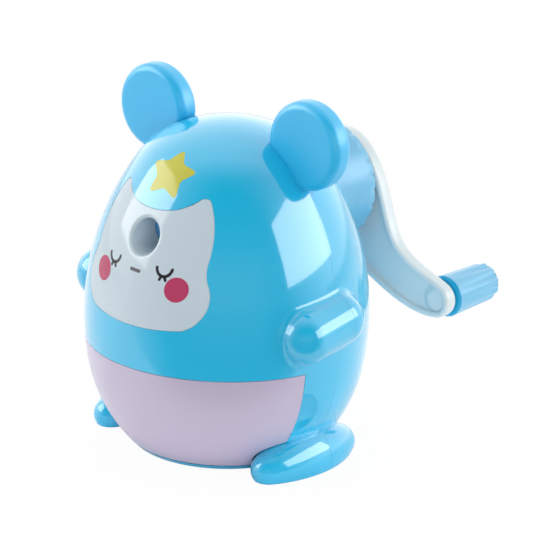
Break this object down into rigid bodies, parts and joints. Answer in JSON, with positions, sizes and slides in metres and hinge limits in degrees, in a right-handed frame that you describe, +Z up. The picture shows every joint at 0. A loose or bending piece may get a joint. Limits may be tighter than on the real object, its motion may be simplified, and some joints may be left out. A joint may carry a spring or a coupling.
{
  "type": "crank pencil sharpener",
  "caption": "Hand-cranked pencil sharpener in the form of a sitting round-eared mouse, with a mouth for the pencil, a rear crank and a pull-out shavings drawer.",
  "frame": {"origin": "on the table under the upright axis of the egg-shaped body, at the middle of the pad's underside", "axes": "+Z up; -Y out of the pencil's mouth and the way the drawer slides out; +Y towards the crank; +X to the right of someone facing the mouth"},
  "size_m": [0.1012, 0.1223, 0.1149],
  "materials": {
    "blue_gloss": "glossy light blue ABS",
    "ear_blue": "light blue ABS, a little more saturated",
    "white_gloss": "glossy white ABS",
    "lilac_satin": "pale lilac plastic, satin",
    "pad_rubber": "grey anti-slip rubber",
    "pale_blue": "pale blue plastic",
    "zinc": "die-cast zinc alloy",
    "tool_steel": "hardened and ground tool steel",
    "screw_steel": "zinc-plated steel"
  },
  "bodies": {
    "body": {"front_shell": "blue_gloss", "rear_shell": "blue_gloss", "face_plate": "white_gloss", "left_ear": "ear_blue", "right_ear": "ear_blue", "base_plate": "blue_gloss", "anti_slip_pad": "pad_rubber", "cutter_seat": "blue_gloss", "case_screws": "screw_steel", "base_screws": "screw_steel", "seat_screws": "screw_steel"},
    "drawer": {"drawer": "lilac_satin"},
    "collar": {"cutter_collar": "pale_blue", "ring_gear": "tool_steel"},
    "crank": {"cutter_carrier": "zinc", "cutter_axle": "tool_steel", "cutter_washers": "screw_steel", "thrust_washer": "screw_steel", "crank_arm": "white_gloss", "crank_screw": "screw_steel", "knob_pin": "screw_steel"},
    "cutter": {"helical_cutter": "tool_steel", "cutter_pinion": "tool_steel"},
    "knob": {"knob": "pale_blue"}
  },
  "joints": [
    {"name": "drawer_slide", "type": "slide", "parent": "body", "child": "drawer", "axis": [0, -1, 0], "range_m": [0, 0.04]},
    {"name": "collar_twist", "type": "hinge", "parent": "body", "child": "collar", "pos_m": [0, 0, 0.0743], "axis": [0, 1, 0], "range_deg": [0, 30]},
    {"name": "crank_turn", "type": "hinge", "parent": "collar", "child": "crank", "pos_m": [0, 0, 0.0743], "axis": [0, 1, 0], "continuous": true},
    {"name": "cutter_spin", "type": "hinge", "parent": "crank", "child": "cutter", "pos_m": [0, 0, 0.0832], "axis": [0, 0.9864, -0.1644], "continuous": true},
    {"name": "knob_spin", "type": "hinge", "parent": "crank", "child": "knob", "pos_m": [0.04104, 0.067, 0.04189], "axis": [0, 1, 0], "continuous": true}
  ],
  "couplings": [
    {"joint": "cutter_spin", "follows": "crank_turn", "ratio": -2}
  ]
}
